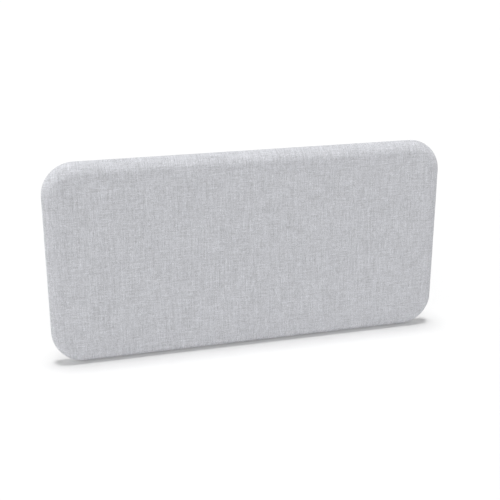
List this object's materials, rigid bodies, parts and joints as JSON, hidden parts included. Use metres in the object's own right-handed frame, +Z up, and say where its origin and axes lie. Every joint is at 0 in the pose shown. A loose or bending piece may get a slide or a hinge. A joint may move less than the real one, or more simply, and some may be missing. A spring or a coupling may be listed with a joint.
{
  "type": "acoustic wall panel",
  "caption": "Upholstered sound absorbing wall panel with round corners and soft front edges, built on a plywood back frame and hung from a wall rail that it lifts off.",
  "frame": {"origin": "midway between the wall rail's outer screw slots, on the wall", "axes": "+X to the panel's right as seen from the room, +Y into the wall, +Z up"},
  "size_m": [1.2, 0.056, 0.6],
  "materials": {
    "cover_cloth": "matte",
    "wadding": "matte",
    "absorber_felt": "matte",
    "plywood": "matte",
    "backing_cloth": "matte",
    "zinc_steel": "satin",
    "aluminium": "satin",
    "pad_rubber": "matte"
  },
  "bodies": {
    "rail": {"wall_rail": "aluminium"},
    "panel": {"cover_fabric": "cover_cloth", "wadding": "wadding", "absorber_slab": "absorber_felt", "left_infill_pad": "absorber_felt", "right_infill_pad": "absorber_felt", "top_rail": "plywood", "bottom_rail": "plywood", "left_stile": "plywood", "right_stile": "plywood", "centre_stile": "plywood", "frame_screws": "zinc_steel", "backing_cloth": "backing_cloth", "staples": "zinc_steel", "left_hanger": "aluminium", "right_hanger": "aluminium", "hanger_screws": "zinc_steel", "left_wall_pad": "pad_rubber", "right_wall_pad": "pad_rubber"}
  },
  "joints": [
    {"name": "panel_lift", "type": "slide", "parent": "rail", "child": "panel", "axis": [0, 0, 1], "range_m": [0, 0.02]}
  ]
}
